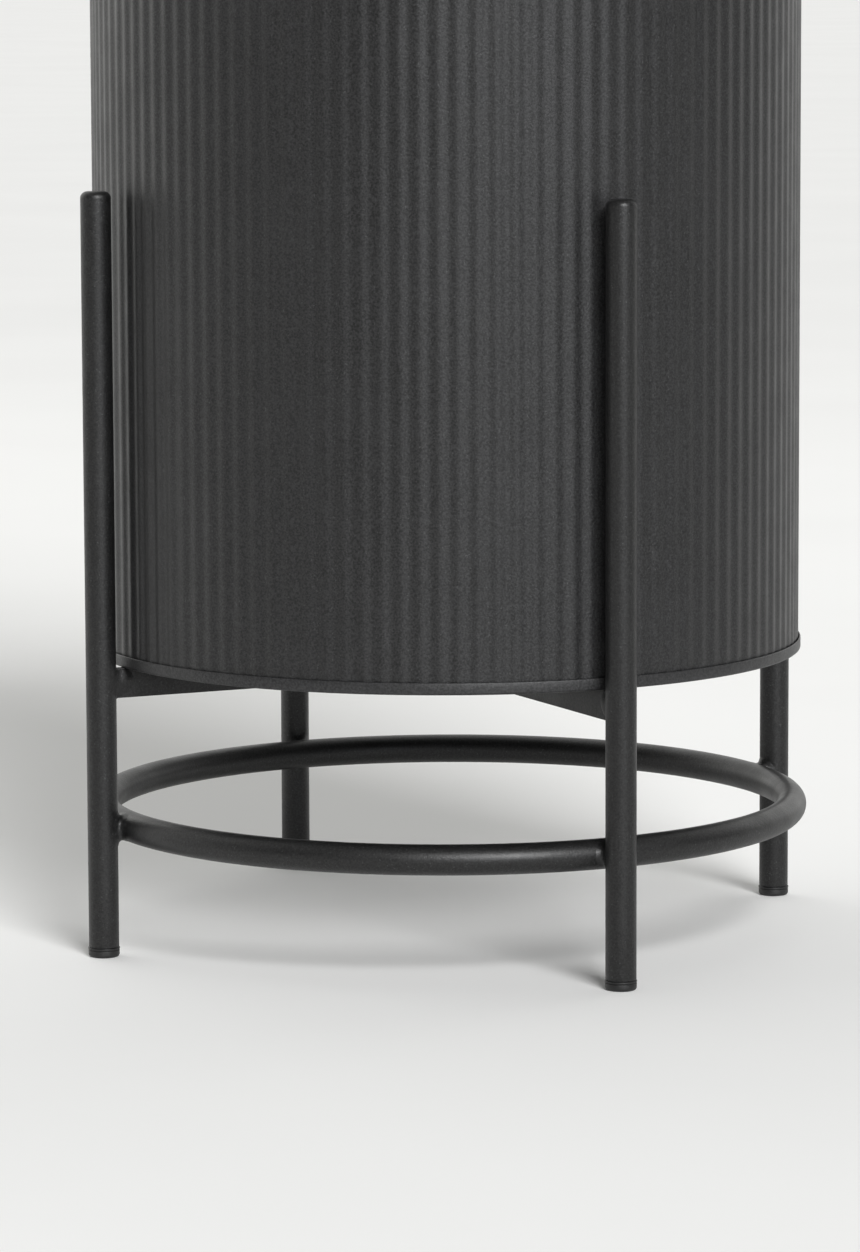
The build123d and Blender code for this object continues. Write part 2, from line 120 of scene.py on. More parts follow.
def mesh_piece(name, verts, faces, sharp=38):
    """New object from points and faces, welded, facing outwards and smooth up to the sharp angle."""
    mesh = bpy.data.meshes.new(name)
    mesh.from_pydata([tuple(v) for v in verts], [], [tuple(int(i) for i in f) for f in faces])
    shape = bmesh.new()
    shape.from_mesh(mesh)
    bmesh.ops.remove_doubles(shape, verts=shape.verts, dist=1e-7)
    bmesh.ops.recalc_face_normals(shape, faces=shape.faces)
    shape.to_mesh(mesh)
    shape.free()
    smoothed(mesh, sharp)
    piece = bpy.data.objects.new(name, mesh)
    bpy.context.scene.collection.objects.link(piece)
    return piece


def joined(name, parts, sharp):
    """One object out of several lists of points and faces."""
    verts, faces = [], []
    for part_verts, part_faces in parts:
        start = len(verts)
        verts.extend(part_verts)
        faces.extend([tuple(i + start for i in face) for face in part_faces])
    return mesh_piece(name, verts, faces, sharp)


def arc(middle, radius, start, end, steps):
    """Points of a flat arc from one angle to another, both ends included."""
    middle = Vector(middle)
    angles = [start + (end - start) * k / steps for k in range(steps + 1)]
    return [middle + radius * Vector(polar(1, angle)) for angle in angles]


def rounded(points, radii, steps=7):
    """Flat path through points with each inner corner turned into an arc."""
    if not hasattr(radii, "__len__"):
        radii = [radii] * (len(points) - 2)
    path = [Vector(points[0])]
    for before, corner, after, radius in zip(points, points[1:], points[2:], radii):
        corner = Vector(corner)
        a = (Vector(before) - corner).normalized()
        b = (Vector(after) - corner).normalized()
        half = a.angle(b) / 2
        reach = radius / math.tan(half)
        middle = corner + (a + b).normalized() * (radius / math.sin(half))
        start = corner + a * reach - middle
        sweep = start.angle_signed(corner + b * reach - middle)
        for k in range(steps + 1):
            turn = -sweep * k / steps
            c, s = math.cos(turn), math.sin(turn)
            path.append(middle + Vector((start.x * c - start.y * s, start.x * s + start.y * c)))
    path.append(Vector(points[-1]))
    return path


def shifted(path, distance):
    """Path moved sideways by a distance, to the left of its direction."""
    moved = []
    for k, point in enumerate(path):
        ahead = (path[min(k + 1, len(path) - 1)] - point).normalized()
        behind = (point - path[max(k - 1, 0)]).normalized()
        ahead = behind if ahead.length < 0.5 else ahead
        behind = ahead if behind.length < 0.5 else behind
        left = (Vector((-ahead.y, ahead.x)) + Vector((-behind.y, behind.x))).normalized()
        cosine = max(left.dot(Vector((-ahead.y, ahead.x))), 0.3)
        moved.append(point + left * (distance / cosine))
    return moved


def round_end(a, b, steps=5):
    """Half circle from a to b, bulging to the right of the way from a to b."""
    middle = (a + b) / 2
    arm = a - middle
    points = []
    for k in range(1, steps):
        turn = math.pi * k / steps
        c, s = math.cos(turn), math.sin(turn)
        points.append(middle + Vector((arm.x * c - arm.y * s, arm.x * s + arm.y * c)))
    return points


def sheet_outline(points, bend, thickness, steps=7):
    """Outline of bent sheet: one face follows the points, with the sheet on their left if thickness > 0."""
    face = rounded(points, bend, steps)
    back = shifted(face, thickness)
    outline = list(face)
    if face[-1].x > 1e-6:
        end = round_end(face[-1], back[-1])
        outline += end if thickness > 0 else [face[-1] + back[-1] - p for p in end]
    outline += reversed(back)
    if face[0].x > 1e-6:
        end = round_end(back[0], face[0])
        outline += end if thickness > 0 else [face[0] + back[0] - p for p in end]
    return outline


def turned(outline, steps=288, centre=(0, 0)):
    """Points and faces of an outline of (radius, height) turned about a vertical axis."""
    on_axis = outline[0][0] < 1e-6 and outline[-1][0] < 1e-6
    body = outline[1:-1] if on_axis else outline
    count = len(body)
    verts = []
    for k in range(steps):
        c, s = polar(1, 360 * k / steps)
        verts += [(centre[0] + p[0] * c, centre[1] + p[0] * s, p[1]) for p in body]
    faces = []
    for k in range(steps):
        this, following = k * count, (k + 1) % steps * count
        for i in range(count if not on_axis else count - 1):
            j = (i + 1) % count
            faces.append((this + i, following + i, following + j, this + j))
    if on_axis:
        verts += [(centre[0], centre[1], outline[0][1]), (centre[0], centre[1], outline[-1][1])]
        first, last = len(verts) - 2, len(verts) - 1
        for k in range(steps):
            this, following = k * count, (k + 1) % steps * count
            faces.append((first, following, this))
            faces.append((last, this + count - 1, following + count - 1))
    return verts, faces


def apply_modifiers(piece):
    """Modifiers made part of the piece's mesh."""
    evaluated = piece.evaluated_get(bpy.context.evaluated_depsgraph_get())
    made = bpy.data.meshes.new_from_object(evaluated)
    piece.modifiers.clear()
    piece.data = made


def moved(part, matrix):
    """Points and faces carried by a matrix."""
    verts, faces = part
    return [matrix @ Vector(v) for v in verts], faces


def swept(path, radius, steps=20, closed=False):
    """Round bar along a path of 3-D points, with flat ends."""
    path = [Vector(p) for p in path]
    count = len(path)
    verts, faces = [], []
    side = Vector((0, 0, 1))
    for k, point in enumerate(path):
        along = path[(k + 1) % count if closed else min(k + 1, count - 1)]
        along = (along - path[k - 1 if closed else max(k - 1, 0)]).normalized()
        side = (side - along * side.dot(along)).normalized()
        other = along.cross(side)
        for i in range(steps):
            c, s = polar(radius, 360 * i / steps)
            verts.append(point + side * c + other * s)
    for k in range(count if closed else count - 1):
        for i in range(steps):
            j = (i + 1) % steps
            n = (k + 1) % count
            faces.append((k * steps + i, k * steps + j, n * steps + j, n * steps + i))
    if not closed:
        faces.append(tuple(range(steps)))
        faces.append(tuple(range((count - 1) * steps, count * steps)))
    return verts, faces


def skin(field, low, high, cell):
    """Surface where a field of 3-D points crosses zero, one point in each cell that it passes through."""
    counts = [int(round((h - l) / cell)) + 1 for l, h in zip(low, high)]
    axes = [l + cell * np.arange(n) for l, n in zip(low, counts)]
    value = field(*np.meshgrid(*axes, indexing="ij"))
    inside = value < 0
    shape = tuple(n - 1 for n in counts)

    def corner(array, offset):
        return array[tuple(slice(o, o + n) for o, n in zip(offset, shape))]

    total = np.zeros(shape + (3,))
    hits = np.zeros(shape)
    for axis in range(3):
        others = [a for a in range(3) if a != axis]
        for first in (0, 1):
            for second in (0, 1):
                near = [0, 0, 0]
                near[others[0]], near[others[1]] = first, second
                far = list(near)
                far[axis] = 1
                a, b = corner(value, near), corner(value, far)
                crosses = (a < 0) != (b < 0)
                share = np.where(crosses, a / np.where(crosses, a - b, 1), 0)
                for n in range(3):
                    total[..., n] += np.where(crosses, share if n == axis else near[n], 0)
                hits += crosses
    used = hits > 0
    index = np.full(shape, -1)
    index[used] = np.arange(used.sum())
    place = np.argwhere(used) + total[used] / hits[used][:, None]
    verts = place * cell + np.array(low)
    faces = []
    for axis in range(3):
        u, v = (axis + 1) % 3, (axis + 2) % 3
        here = [slice(None)] * 3
        there = [slice(None)] * 3
        here[axis], there[axis] = slice(0, -1), slice(1, None)
        a, b = inside[tuple(here)], inside[tuple(there)]
        for flip, found in ((False, a & ~b), (True, ~a & b)):
            for spot in np.argwhere(found):
                if spot[u] == 0 or spot[v] == 0 or spot[u] >= shape[u] or spot[v] >= shape[v]:
                    continue
                quad = []
                for du, dv in ((0, 0), (-1, 0), (-1, -1), (0, -1)):
                    cell_at = list(spot)
                    cell_at[u] += du
                    cell_at[v] += dv
                    quad.append(index[tuple(cell_at)])
                faces.append(tuple(quad if flip else reversed(quad)))
    return [tuple(v) for v in verts], faces


def soft_union(a, b, reach):
    """Two distance fields run together with a hollow fillet of that reach."""
    h = np.clip(0.5 + 0.5 * (b - a) / reach, 0, 1)
    return b + (a - b) * h - reach * h * (1 - h)


# ---------------------------------------------------------------- materials
def new_material(name):
    """Empty principled material with its node tree, shader and object coordinates."""
    material = bpy.data.materials.new(name)
    material.use_nodes = True
    tree = material.node_tree
    shader = tree.nodes["Principled BSDF"]
    coords = tree.nodes.new("ShaderNodeTexCoord").outputs["Object"]
    return material, tree, shader, coords


def noise(tree, coords, scale, detail=2.0, roughness=0.5, stretch=None):
    """Noise value, optionally stretched along an axis."""
    if stretch is not None:
        mapping = tree.nodes.new("ShaderNodeMapping")
        mapping.inputs["Scale"].default_value = stretch
        tree.links.new(coords, mapping.inputs["Vector"])
        coords = mapping.outputs["Vector"]
    node = tree.nodes.new("ShaderNodeTexNoise")
    node.inputs["Scale"].default_value = scale
    node.inputs["Detail"].default_value = detail
    node.inputs["Roughness"].default_value = roughness
    tree.links.new(coords, node.inputs["Vector"])
    return node.outputs["Fac"]


def ramp(tree, value, stops):
    """Colour ramp: stops are (place, grey or colour)."""
    node = tree.nodes.new("ShaderNodeValToRGB")
    while len(node.color_ramp.elements) < len(stops):
        node.color_ramp.elements.new(0.5)
    for element, (place, colour) in zip(node.color_ramp.elements, stops):
        element.position = place
        element.color = (*colour, 1) if hasattr(colour, "__len__") else (colour, colour, colour, 1)
    tree.links.new(value, node.inputs["Fac"])
    return node.outputs["Color"]


def mixed(tree, a, b, share):
    """Two colours mixed by a value or a fixed share."""
    node = tree.nodes.new("ShaderNodeMix")
    node.data_type = "RGBA"
    for socket, value in ((node.inputs[0], share), (node.inputs[6], a), (node.inputs[7], b)):
        if hasattr(value, "is_output"):
            tree.links.new(value, socket)
        else:
            socket.default_value = (*value, 1) if hasattr(value, "__len__") else value
    return node.outputs[2]


def bump(tree, shader, layers):
    """Chain of bumps: layers are (height value, depth in metres)."""
    normal = None
    for height, depth in layers:
        node = tree.nodes.new("ShaderNodeBump")
        node.inputs["Distance"].default_value = depth
        node.inputs["Strength"].default_value = 1.0
        tree.links.new(height, node.inputs["Height"])
        if normal is not None:
            tree.links.new(normal, node.inputs["Normal"])
        normal = node.outputs["Normal"]
    tree.links.new(normal, shader.inputs["Normal"])


def powder_coat(name, dark, light, rough, grain=0.85 * MM):
    """Matt powder coat: fine speckle, a few pale flecks, faint cloudiness, uneven gloss and orange peel."""
    material, tree, shader, coords = new_material(name)
    speckle = noise(tree, coords, 1 / grain, 2.5, 0.6)
    cloud = noise(tree, coords, 14.0, 3.0, 0.55)
    peel = noise(tree, coords, 1 / (2.6 * grain), 1.5, 0.5)
    body = mixed(tree, dark, light, ramp(tree, speckle, [(0.36, 0.0), (0.66, 1.0)]))
    faded = tuple(min(c * 1.18, 1) for c in light)
    body = mixed(tree, body, faded, ramp(tree, cloud, [(0.45, 0.0), (0.85, 0.35)]))
    fleck = noise(tree, coords, 1.1 / grain, 0.0, 0.5)
    body = mixed(tree, body, (0.034, 0.034, 0.035), ramp(tree, fleck, [(0.73, 0.0), (0.82, 1.0)]))
    tree.links.new(body, shader.inputs["Base Color"])
    low, high = rough
    rub = noise(tree, coords, 60.0, 4.0, 0.6)
    tree.links.new(ramp(tree, rub, [(0.3, low), (0.7, high)]), shader.inputs["Roughness"])
    bump(tree, shader, [(speckle, 0.085 * MM), (peel, 0.055 * MM)])
    tree.links.new(ramp(tree, speckle, [(0.36, 0.45), (0.64, 0.55)]), shader.inputs["Specular IOR Level"])
    return material


def moulded_plastic(name, colour):
    """Black moulded plastic with a fine spark-eroded surface and pale scuffs."""
    material, tree, shader, coords = new_material(name)
    grain = noise(tree, coords, 4200.0, 2.0, 0.5)
    scuff = noise(tree, coords, 320.0, 5.0, 0.7, (1, 1, 3))
    worn = tuple(c * 2.6 for c in colour)
    body = mixed(tree, colour, worn, ramp(tree, scuff, [(0.52, 0.0), (0.72, 0.8)]))
    tree.links.new(body, shader.inputs["Base Color"])
    tree.links.new(ramp(tree, scuff, [(0.3, 0.42), (0.75, 0.62)]), shader.inputs["Roughness"])
    bump(tree, shader, [(grain, 0.010 * MM)])
    return material


def galvanised(name):
    """Zinc-dipped sheet: crystals of slightly different greys, dull oxide bloom and fine scratches."""
    material, tree, shader, coords = new_material(name)
    crystals = tree.nodes.new("ShaderNodeTexVoronoi")
    crystals.inputs["Scale"].default_value = 95.0
    warp = tree.nodes.new("ShaderNodeMixRGB")
    warp.blend_type = "ADD"
    warp.inputs[0].default_value = 0.012
    warp_noise = tree.nodes.new("ShaderNodeTexNoise")
    warp_noise.inputs["Scale"].default_value = 120.0
    tree.links.new(coords, warp_noise.inputs["Vector"])
    tree.links.new(coords, warp.inputs[1])
    tree.links.new(warp_noise.outputs["Color"], warp.inputs[2])
    tree.links.new(warp.outputs[0], crystals.inputs["Vector"])
    flake = tree.nodes.new("ShaderNodeSeparateColor")
    tree.links.new(crystals.outputs["Color"], flake.inputs["Color"])
    bloom = noise(tree, coords, 30.0, 5.0, 0.6)
    scratch = noise(tree, coords, 220.0, 3.0, 0.6, (6, 6, 0.35))
    zinc = ramp(tree, flake.outputs["Red"], [(0.0, (0.36, 0.375, 0.385)), (1.0, (0.56, 0.575, 0.585))])
    zinc = mixed(tree, zinc, (0.44, 0.45, 0.455), ramp(tree, bloom, [(0.45, 0.0), (0.75, 0.75)]))
    tree.links.new(zinc, shader.inputs["Base Color"])
    gloss = ramp(tree, flake.outputs["Green"], [(0.0, 0.28), (1.0, 0.46)])
    gloss = mixed(tree, gloss, (0.6, 0.6, 0.6), ramp(tree, bloom, [(0.4, 0.0), (0.8, 0.9)]))
    tree.links.new(gloss, shader.inputs["Roughness"])
    shader.inputs["Metallic"].default_value = 0.85
    bump(tree, shader, [(scratch, 0.010 * MM), (bloom, 0.05 * MM)])
    return material


def brushed_steel(name, colour, about_axis=False):
    """Bright metal with brush lines, round the axis or straight, and with faint stains and specks."""
    material, tree, shader, coords = new_material(name)
    if about_axis:
        radius = tree.nodes.new("ShaderNodeVectorMath")
        radius.operation = "LENGTH"
        flat = tree.nodes.new("ShaderNodeVectorMath")
        flat.operation = "MULTIPLY"
        flat.inputs[1].default_value = (1, 1, 0)
        tree.links.new(coords, flat.inputs[0])
        tree.links.new(flat.outputs["Vector"], radius.inputs[0])
        ring = tree.nodes.new("ShaderNodeCombineXYZ")
        tree.links.new(radius.outputs["Value"], ring.inputs["X"])
        lines = noise(tree, ring.outputs["Vector"], 3800.0, 4.0, 0.7)
    else:
        lines = noise(tree, coords, 900.0, 4.0, 0.7, (4, 4, 0.1))
    stain = noise(tree, coords, 26.0, 6.0, 0.62)
    speck = noise(tree, coords, 900.0, 3.0, 0.6)
    darker = tuple(c * 0.82 for c in colour)
    metal = mixed(tree, darker, colour, ramp(tree, lines, [(0.3, 0.0), (0.7, 1.0)]))
    metal = mixed(tree, metal, (0.16, 0.135, 0.11), ramp(tree, stain, [(0.52, 0.0), (0.78, 0.55)]))
    metal = mixed(tree, metal, (0.05, 0.047, 0.045), ramp(tree, speck, [(0.66, 0.0), (0.74, 0.6)]))
    tree.links.new(metal, shader.inputs["Base Color"])
    tree.links.new(ramp(tree, stain, [(0.35, 0.26), (0.75, 0.55)]), shader.inputs["Roughness"])
    shader.inputs["Metallic"].default_value = 1.0
    bump(tree, shader, [(lines, 0.006 * MM)])
    return material


def floor_paint(name):
    """Plain pale floor with only the faintest cloudiness."""
    material, tree, shader, coords = new_material(name)
    cloud = noise(tree, coords, 3.0, 4.0, 0.5)
    paint = ramp(tree, cloud, [(0.3, (0.82, 0.82, 0.813)), (0.7, (0.84, 0.84, 0.833))])
    tree.links.new(paint, shader.inputs["Base Color"])
    shader.inputs["Roughness"].default_value = 0.32
    shader.inputs["Specular IOR Level"].default_value = 0.0
    bump(tree, shader, [(noise(tree, coords, 260.0, 3.0, 0.6), 0.03 * MM)])
    return material


DRUM_COAT = powder_coat("drum_powder_coat", (0.002, 0.002, 0.0021), (0.017, 0.017, 0.0178), (0.40, 0.50))
HEM_COAT = powder_coat("hem_powder_coat", (0.007, 0.007, 0.0073), (0.026, 0.026, 0.027), (0.42, 0.52))
STAND_COAT = powder_coat("stand_powder_coat", (0.002, 0.002, 0.002), (0.009, 0.009, 0.0091), (0.40, 0.50))
BOWL_ENAMEL = powder_coat("bowl_enamel", (0.012,) * 3, (0.022,) * 3, (0.34, 0.50), grain=0.5 * MM)
FOOT_PLASTIC = moulded_plastic("foot_plastic", (0.009, 0.009, 0.009))
ZINC = galvanised("galvanised_sheet")
GRILLE_STEEL = brushed_steel("grille_steel", (0.58, 0.57, 0.55), about_axis=True)
WIRE_STEEL = brushed_steel("bright_wire", (0.56, 0.56, 0.56))
RIVET_METAL = brushed_steel("rivet_aluminium", (0.66, 0.66, 0.67))


def finish_piece(piece, material, body, nodes):
    """Material, body, replaced CAD nodes and material slot of a finished piece."""
    piece.data.materials.clear()
    piece.data.materials.append(material)
    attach(piece, body)
    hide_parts(*nodes)


# ---------------------------------------------------------------- stand
LEG_ROUND = 2.8 * MM
LEG_EDGE = 0.45 * MM
STEM_RADIUS = TUBE_RADIUS - 1.6 * MM
STEM_CHAMFER = 1 * MM
FOOT_ROUND = 1.2 * MM
FOOT_INSET = 0.1 * MM
GROOVE_DEPTH = 0.45 * MM


def leg_outline():
    """Closed tube end on top, softly rounded; a small round edge where the foot cap begins."""
    crown = TUBE_RADIUS - LEG_ROUND
    outline = [Vector((0, LEG_BOTTOM))]
    outline += arc((TUBE_RADIUS - LEG_EDGE, LEG_BOTTOM + LEG_EDGE), LEG_EDGE, -90, 0, 4)
    outline += [Vector((TUBE_RADIUS, LEG_BOTTOM + (LEG_TOP - LEG_BOTTOM) * k / 12)) for k in range(1, 12)]
    outline += arc((crown, LEG_TOP - LEG_ROUND), LEG_ROUND, 0, 90, 8)
    outline += [Vector((crown * 0.6, LEG_TOP)), Vector((0, LEG_TOP))]
    return outline


def cap_outline():
    """Foot cap: thin lip under the tube, shallow groove, round-edged foot and its stem inside the tube."""
    radius = (cap_high.x - cap_low.x) / 2
    foot = radius - FOOT_INSET
    groove = radius - GROOVE_DEPTH
    points = [Vector((0, 0))]
    points += arc((foot - FOOT_ROUND, FOOT_ROUND), FOOT_ROUND, -90, 0, 6)
    points += rounded(
        [
            (foot, FOOT_ROUND + 0.2 * MM),
            (foot, LEG_BOTTOM - 1.15 * MM),
            (groove, LEG_BOTTOM - 1.05 * MM),
            (groove, LEG_BOTTOM - 0.85 * MM),
            (radius, LEG_BOTTOM - 0.75 * MM),
            (radius, LEG_BOTTOM),
            (STEM_RADIUS, LEG_BOTTOM),
        ],
        [0.05 * MM, 0.05 * MM, 0.05 * MM, 0.08 * MM, 0.2 * MM],
        3,
    )
    points.append(Vector((STEM_RADIUS, cap_high.z - STEM_CHAMFER)))
    points.append(Vector((STEM_RADIUS - STEM_CHAMFER, cap_high.z)))
    points.append(Vector((0, cap_high.z)))
    return points


for corner, angle in CORNERS.items():
    place = polar(LEG_CIRCLE, angle)
    leg = mesh_piece(f"{corner}_leg_tube", *turned(leg_outline(), 64, place))
    finish_piece(leg, STAND_COAT, "stand", [f"{corner}_leg"])
    cap = mesh_piece(f"{corner}_foot_plug", *turned(cap_outline(), 64, place), sharp=50)
    finish_piece(cap, FOOT_PLASTIC, "stand", [f"{corner}_foot_cap"])

ring_path = [(*polar(RING_RADIUS, angle), RING_HEIGHT) for angle in range(360)]
ring = mesh_piece("base_ring_tube", *swept(ring_path, TUBE_RADIUS, 48, closed=True))
finish_piece(ring, STAND_COAT, "stand", ["base_ring"])


def sinking(reach, start, slope, proud):
    """Added to a weld's field, so that it stands proud at the joint and sinks into the tubes further out."""
    return np.clip((reach - start) * slope, -proud, 1)


def ring_weld_field(x, y, z):
    """Rippled hollow weld between leg and ring, cut off inside the tubes. The leg's axis is the origin."""
    leg = np.hypot(x, y) - TUBE_RADIUS
    ring_centre = np.hypot(x + LEG_CIRCLE, y) - RING_RADIUS
    ring_tube = np.hypot(ring_centre, z) - TUBE_RADIUS
    reach = np.sqrt((x + TUBE_RADIUS) ** 2 + y**2 + z**2)
    weld = soft_union(leg, ring_tube, 5.0 * MM) + sinking(reach, 7.5 * MM, 0.12, 0.04 * MM)
    ripple = 0.06 * MM * np.sin(z / (0.55 * MM)) * np.exp(-((reach / (6 * MM)) ** 2))
    return np.maximum(weld + ripple, reach - 11 * MM)


def bar_weld_field(x, y, z):
    """Short round weld between leg and bar, over the bar's upper part. The leg's axis is the origin."""
    leg = np.hypot(x, y) - TUBE_RADIUS
    weld_z = z + BAR_HEIGHT * 0.42
    lump_x = (x + TUBE_RADIUS + 2.2 * MM) / 1.5
    lump_z = weld_z / 1.35
    lump = np.sqrt(lump_x**2 + y**2 + lump_z**2) - 3.6 * MM
    reach = np.sqrt((x + TUBE_RADIUS) ** 2 + y**2 + weld_z**2)
    bar_side = np.abs(y) - BAR_THICKNESS / 2
    bar_edge = np.abs(z + BAR_HEIGHT / 2) - BAR_HEIGHT / 2 + 0.15 * MM
    bar = np.maximum(np.maximum(bar_side, bar_edge), x + TUBE_RADIUS)
    weld = soft_union(soft_union(leg, lump, 2.6 * MM), bar, 1.8 * MM)
    weld = weld + sinking(reach, 6.5 * MM, 0.15, 0.03 * MM)
    return np.maximum(np.maximum(weld, reach - 10 * MM), z + 0.3 * MM)


def around_legs(part, height):
    """A part made beside a leg at the origin, repeated at each leg."""
    copies = []
    for angle in CORNERS.values():
        place = Matrix.Translation((*polar(LEG_CIRCLE, angle), height))
        copies.append(moved(part, place @ Matrix.Rotation(math.radians(angle), 4, "Z")))
    return copies


CELL = 0.45 * MM
SPAN = 12 * MM
INWARD = -TUBE_RADIUS - SPAN
ring_weld = skin(ring_weld_field, (INWARD, -SPAN, -SPAN), (TUBE_RADIUS, SPAN, SPAN), CELL)
ring_welds = joined("ring_weld_beads", around_legs(ring_weld, RING_HEIGHT), 60)
finish_piece(ring_welds, STAND_COAT, "stand", ["ring_welds"])
bar_weld = skin(bar_weld_field, (INWARD, -SPAN, -18 * MM), (TUBE_RADIUS, SPAN, 3 * MM), CELL)
bar_welds = joined("bar_weld_beads", around_legs(bar_weld, SEAT), 60)
finish_piece(bar_welds, STAND_COAT, "stand", ["bar_welds"])


BAR_PLAY = 0.1 * MM


def cross_bar(name, angle, slotted_above):
    """Flat bar on edge from leg to leg, with softened edges, notched to half height where the bars cross."""
    half = LEG_CIRCLE - TUBE_RADIUS - BAR_PLAY
    slot = BAR_THICKNESS / 2 + BAR_PLAY
    middle = SEAT - BAR_HEIGHT / 2
    low, high = SEAT - BAR_HEIGHT, SEAT
    if slotted_above:
        notch = [(slot, high), (slot, middle), (-slot, middle), (-slot, high)]
        outline = [(-half, low), (half, low), (half, high), *notch, (-half, high)]
    else:
        notch = [(-slot, low), (-slot, middle), (slot, middle), (slot, low)]
        outline = [(-half, low), *notch, (half, low), (half, high), (-half, high)]
    count = len(outline)
    verts = [(x, y, z) for y in (-BAR_THICKNESS / 2, BAR_THICKNESS / 2) for x, z in outline]
    faces = [tuple(range(count)), tuple(reversed(range(count, 2 * count)))]
    faces += [(i, (i + 1) % count, (i + 1) % count + count, i + count) for i in range(count)]
    bar = mesh_piece(name, *moved((verts, faces), Matrix.Rotation(math.radians(angle), 4, "Z")))
    shape = bmesh.new()
    shape.from_mesh(bar.data)
    edges = shape.edges[:]
    bmesh.ops.bevel(
        shape, geom=edges, offset=0.35 * MM, segments=3, profile=0.5, affect="EDGES", clamp_overlap=True
    )
    shape.to_mesh(bar.data)
    shape.free()
    smoothed(bar.data, 50)
    return bar


for node, angle in (("cross_bar_slotted_above", 45), ("cross_bar_slotted_below", 135)):
    bar = cross_bar(f"{node}_flat", angle, node.endswith("above"))
    finish_piece(bar, STAND_COAT, "stand", [node])

# ---------------------------------------------------------------- drum
OPENING_CENTRE = (frame_low.z + frame_high.z) / 2
NECK_HALF_WIDTH = OPENING_WIDTH / 2 + FRAME_SHEET
NECK_HALF_HEIGHT = OPENING_HEIGHT / 2 + FRAME_SHEET
NECK_CORNER = OPENING_CORNER + FRAME_SHEET
RIB_STEPS = 12


def opening_reach(x):
    """Half the height of the hole in the drum's sheet at a distance across from its middle."""
    straight = NECK_HALF_WIDTH - NECK_CORNER
    over = max(abs(x) - straight, 0)
    rise = math.sqrt(max(NECK_CORNER**2 - over**2, 0))
    return NECK_HALF_HEIGHT - NECK_CORNER + rise


def drum_wall():
    """Ribbed sheet with the hole for the litter opening, as one open surface given its thickness."""
    front = 270
    edge = math.degrees(math.asin(NECK_HALF_WIDTH / DRUM_RADIUS))
    turns = {round(360 * k / (RIB_COUNT * RIB_STEPS), 6) for k in range(RIB_COUNT * RIB_STEPS)}
    turns |= {front - edge, front + edge}
    levels = 7
    verts, columns = [], []
    for turn in sorted(turns):
        radius = DRUM_RADIUS - RIB_DEPTH / 2 + RIB_DEPTH / 2 * math.cos(math.radians(turn * RIB_COUNT))
        x, y = polar(radius, turn)
        near = abs(turn - front) <= edge + 1e-6
        reach = opening_reach(x) if near else NECK_HALF_HEIGHT - NECK_CORNER
        low, high = OPENING_CENTRE - reach, OPENING_CENTRE + reach
        heights = [shell_low.z + (low - shell_low.z) * k / (levels - 1) for k in range(levels)]
        heights += [high + (shell_high.z - high) * k / 2 for k in range(3)]
        columns.append((near, len(verts)))
        verts += [(x, y, z) for z in heights]
    rows = levels + 3
    faces = []
    for k, (near, start) in enumerate(columns):
        next_near, next_start = columns[(k + 1) % len(columns)]
        for row in range(rows - 1):
            if row == levels - 1 and near and next_near:
                continue
            faces.append((start + row, next_start + row, next_start + row + 1, start + row + 1))
    wall = mesh_piece("drum_ribbed_wall", verts, faces, 60)
    thick = wall.modifiers.new("sheet", "SOLIDIFY")
    thick.thickness = SHEET
    thick.offset = -1
    thick.use_even_offset = True
    apply_modifiers(wall)
    smoothed(wall.data, 55)
    return wall


finish_piece(drum_wall(), DRUM_COAT, "drum", ["drum_shell"])

SEAM_INNER = HEM_RADIUS - 3.8 * MM
SEAM_BEND = 1.0 * MM
PAN_FLOOR = SEAT + 4 * MM
pan_outline = sheet_outline(
    [
        (0, PAN_FLOOR),
        (SEAM_INNER, PAN_FLOOR),
        (SEAM_INNER, SEAT),
        (HEM_RADIUS, SEAT),
        (HEM_RADIUS, pan_high.z - 0.35 * MM),
    ],
    SEAM_BEND,
    SHEET,
)
pan = mesh_piece("base_pan_hem", *turned(pan_outline, 360))
finish_piece(pan, HEM_COAT, "drum", ["base_pan"])
RIM_FOOT = rim_low.z + 0.4 * MM
rim_outline = sheet_outline(
    [(SEAM_INNER, RIM_FOOT), (SEAM_INNER, DRUM_TOP), (HEM_RADIUS, DRUM_TOP), (HEM_RADIUS, RIM_FOOT)],
    SEAM_BEND,
    -SHEET,
)
rim = mesh_piece("drum_mouth_rim", *turned(rim_outline, 360))
finish_piece(rim, DRUM_COAT, "drum", ["top_rim"])


def opening_loop(steps=10):
    """Rounded rectangle of the opening's edge: points and outward directions, going round once."""
    loop = []
    half_width, half_height = OPENING_WIDTH / 2, OPENING_HEIGHT / 2
    for sx, sz, start in ((1, 1, 0), (-1, 1, 90), (-1, -1, 180), (1, -1, 270)):
        middle = Vector((sx * (half_width - OPENING_CORNER), sz * (half_height - OPENING_CORNER)))
        for k in range(steps + 1):
            c, s = polar(1, start + 90 * k / steps)
            loop.append((middle + OPENING_CORNER * Vector((c, s)), Vector((c, s))))
    return loop


def between(loop, longest=3 * MM):
    """Loop with points added along its long straight sides."""
    fine = []
    for (a, out_a), (b, out_b) in zip(loop, loop[1:] + loop[:1]):
        count = max(1, math.ceil((b - a).length / longest))
        shares = [k / count for k in range(count)]
        fine += [(a.lerp(b, share), out_a.lerp(out_b, share).normalized()) for share in shares]
    return fine


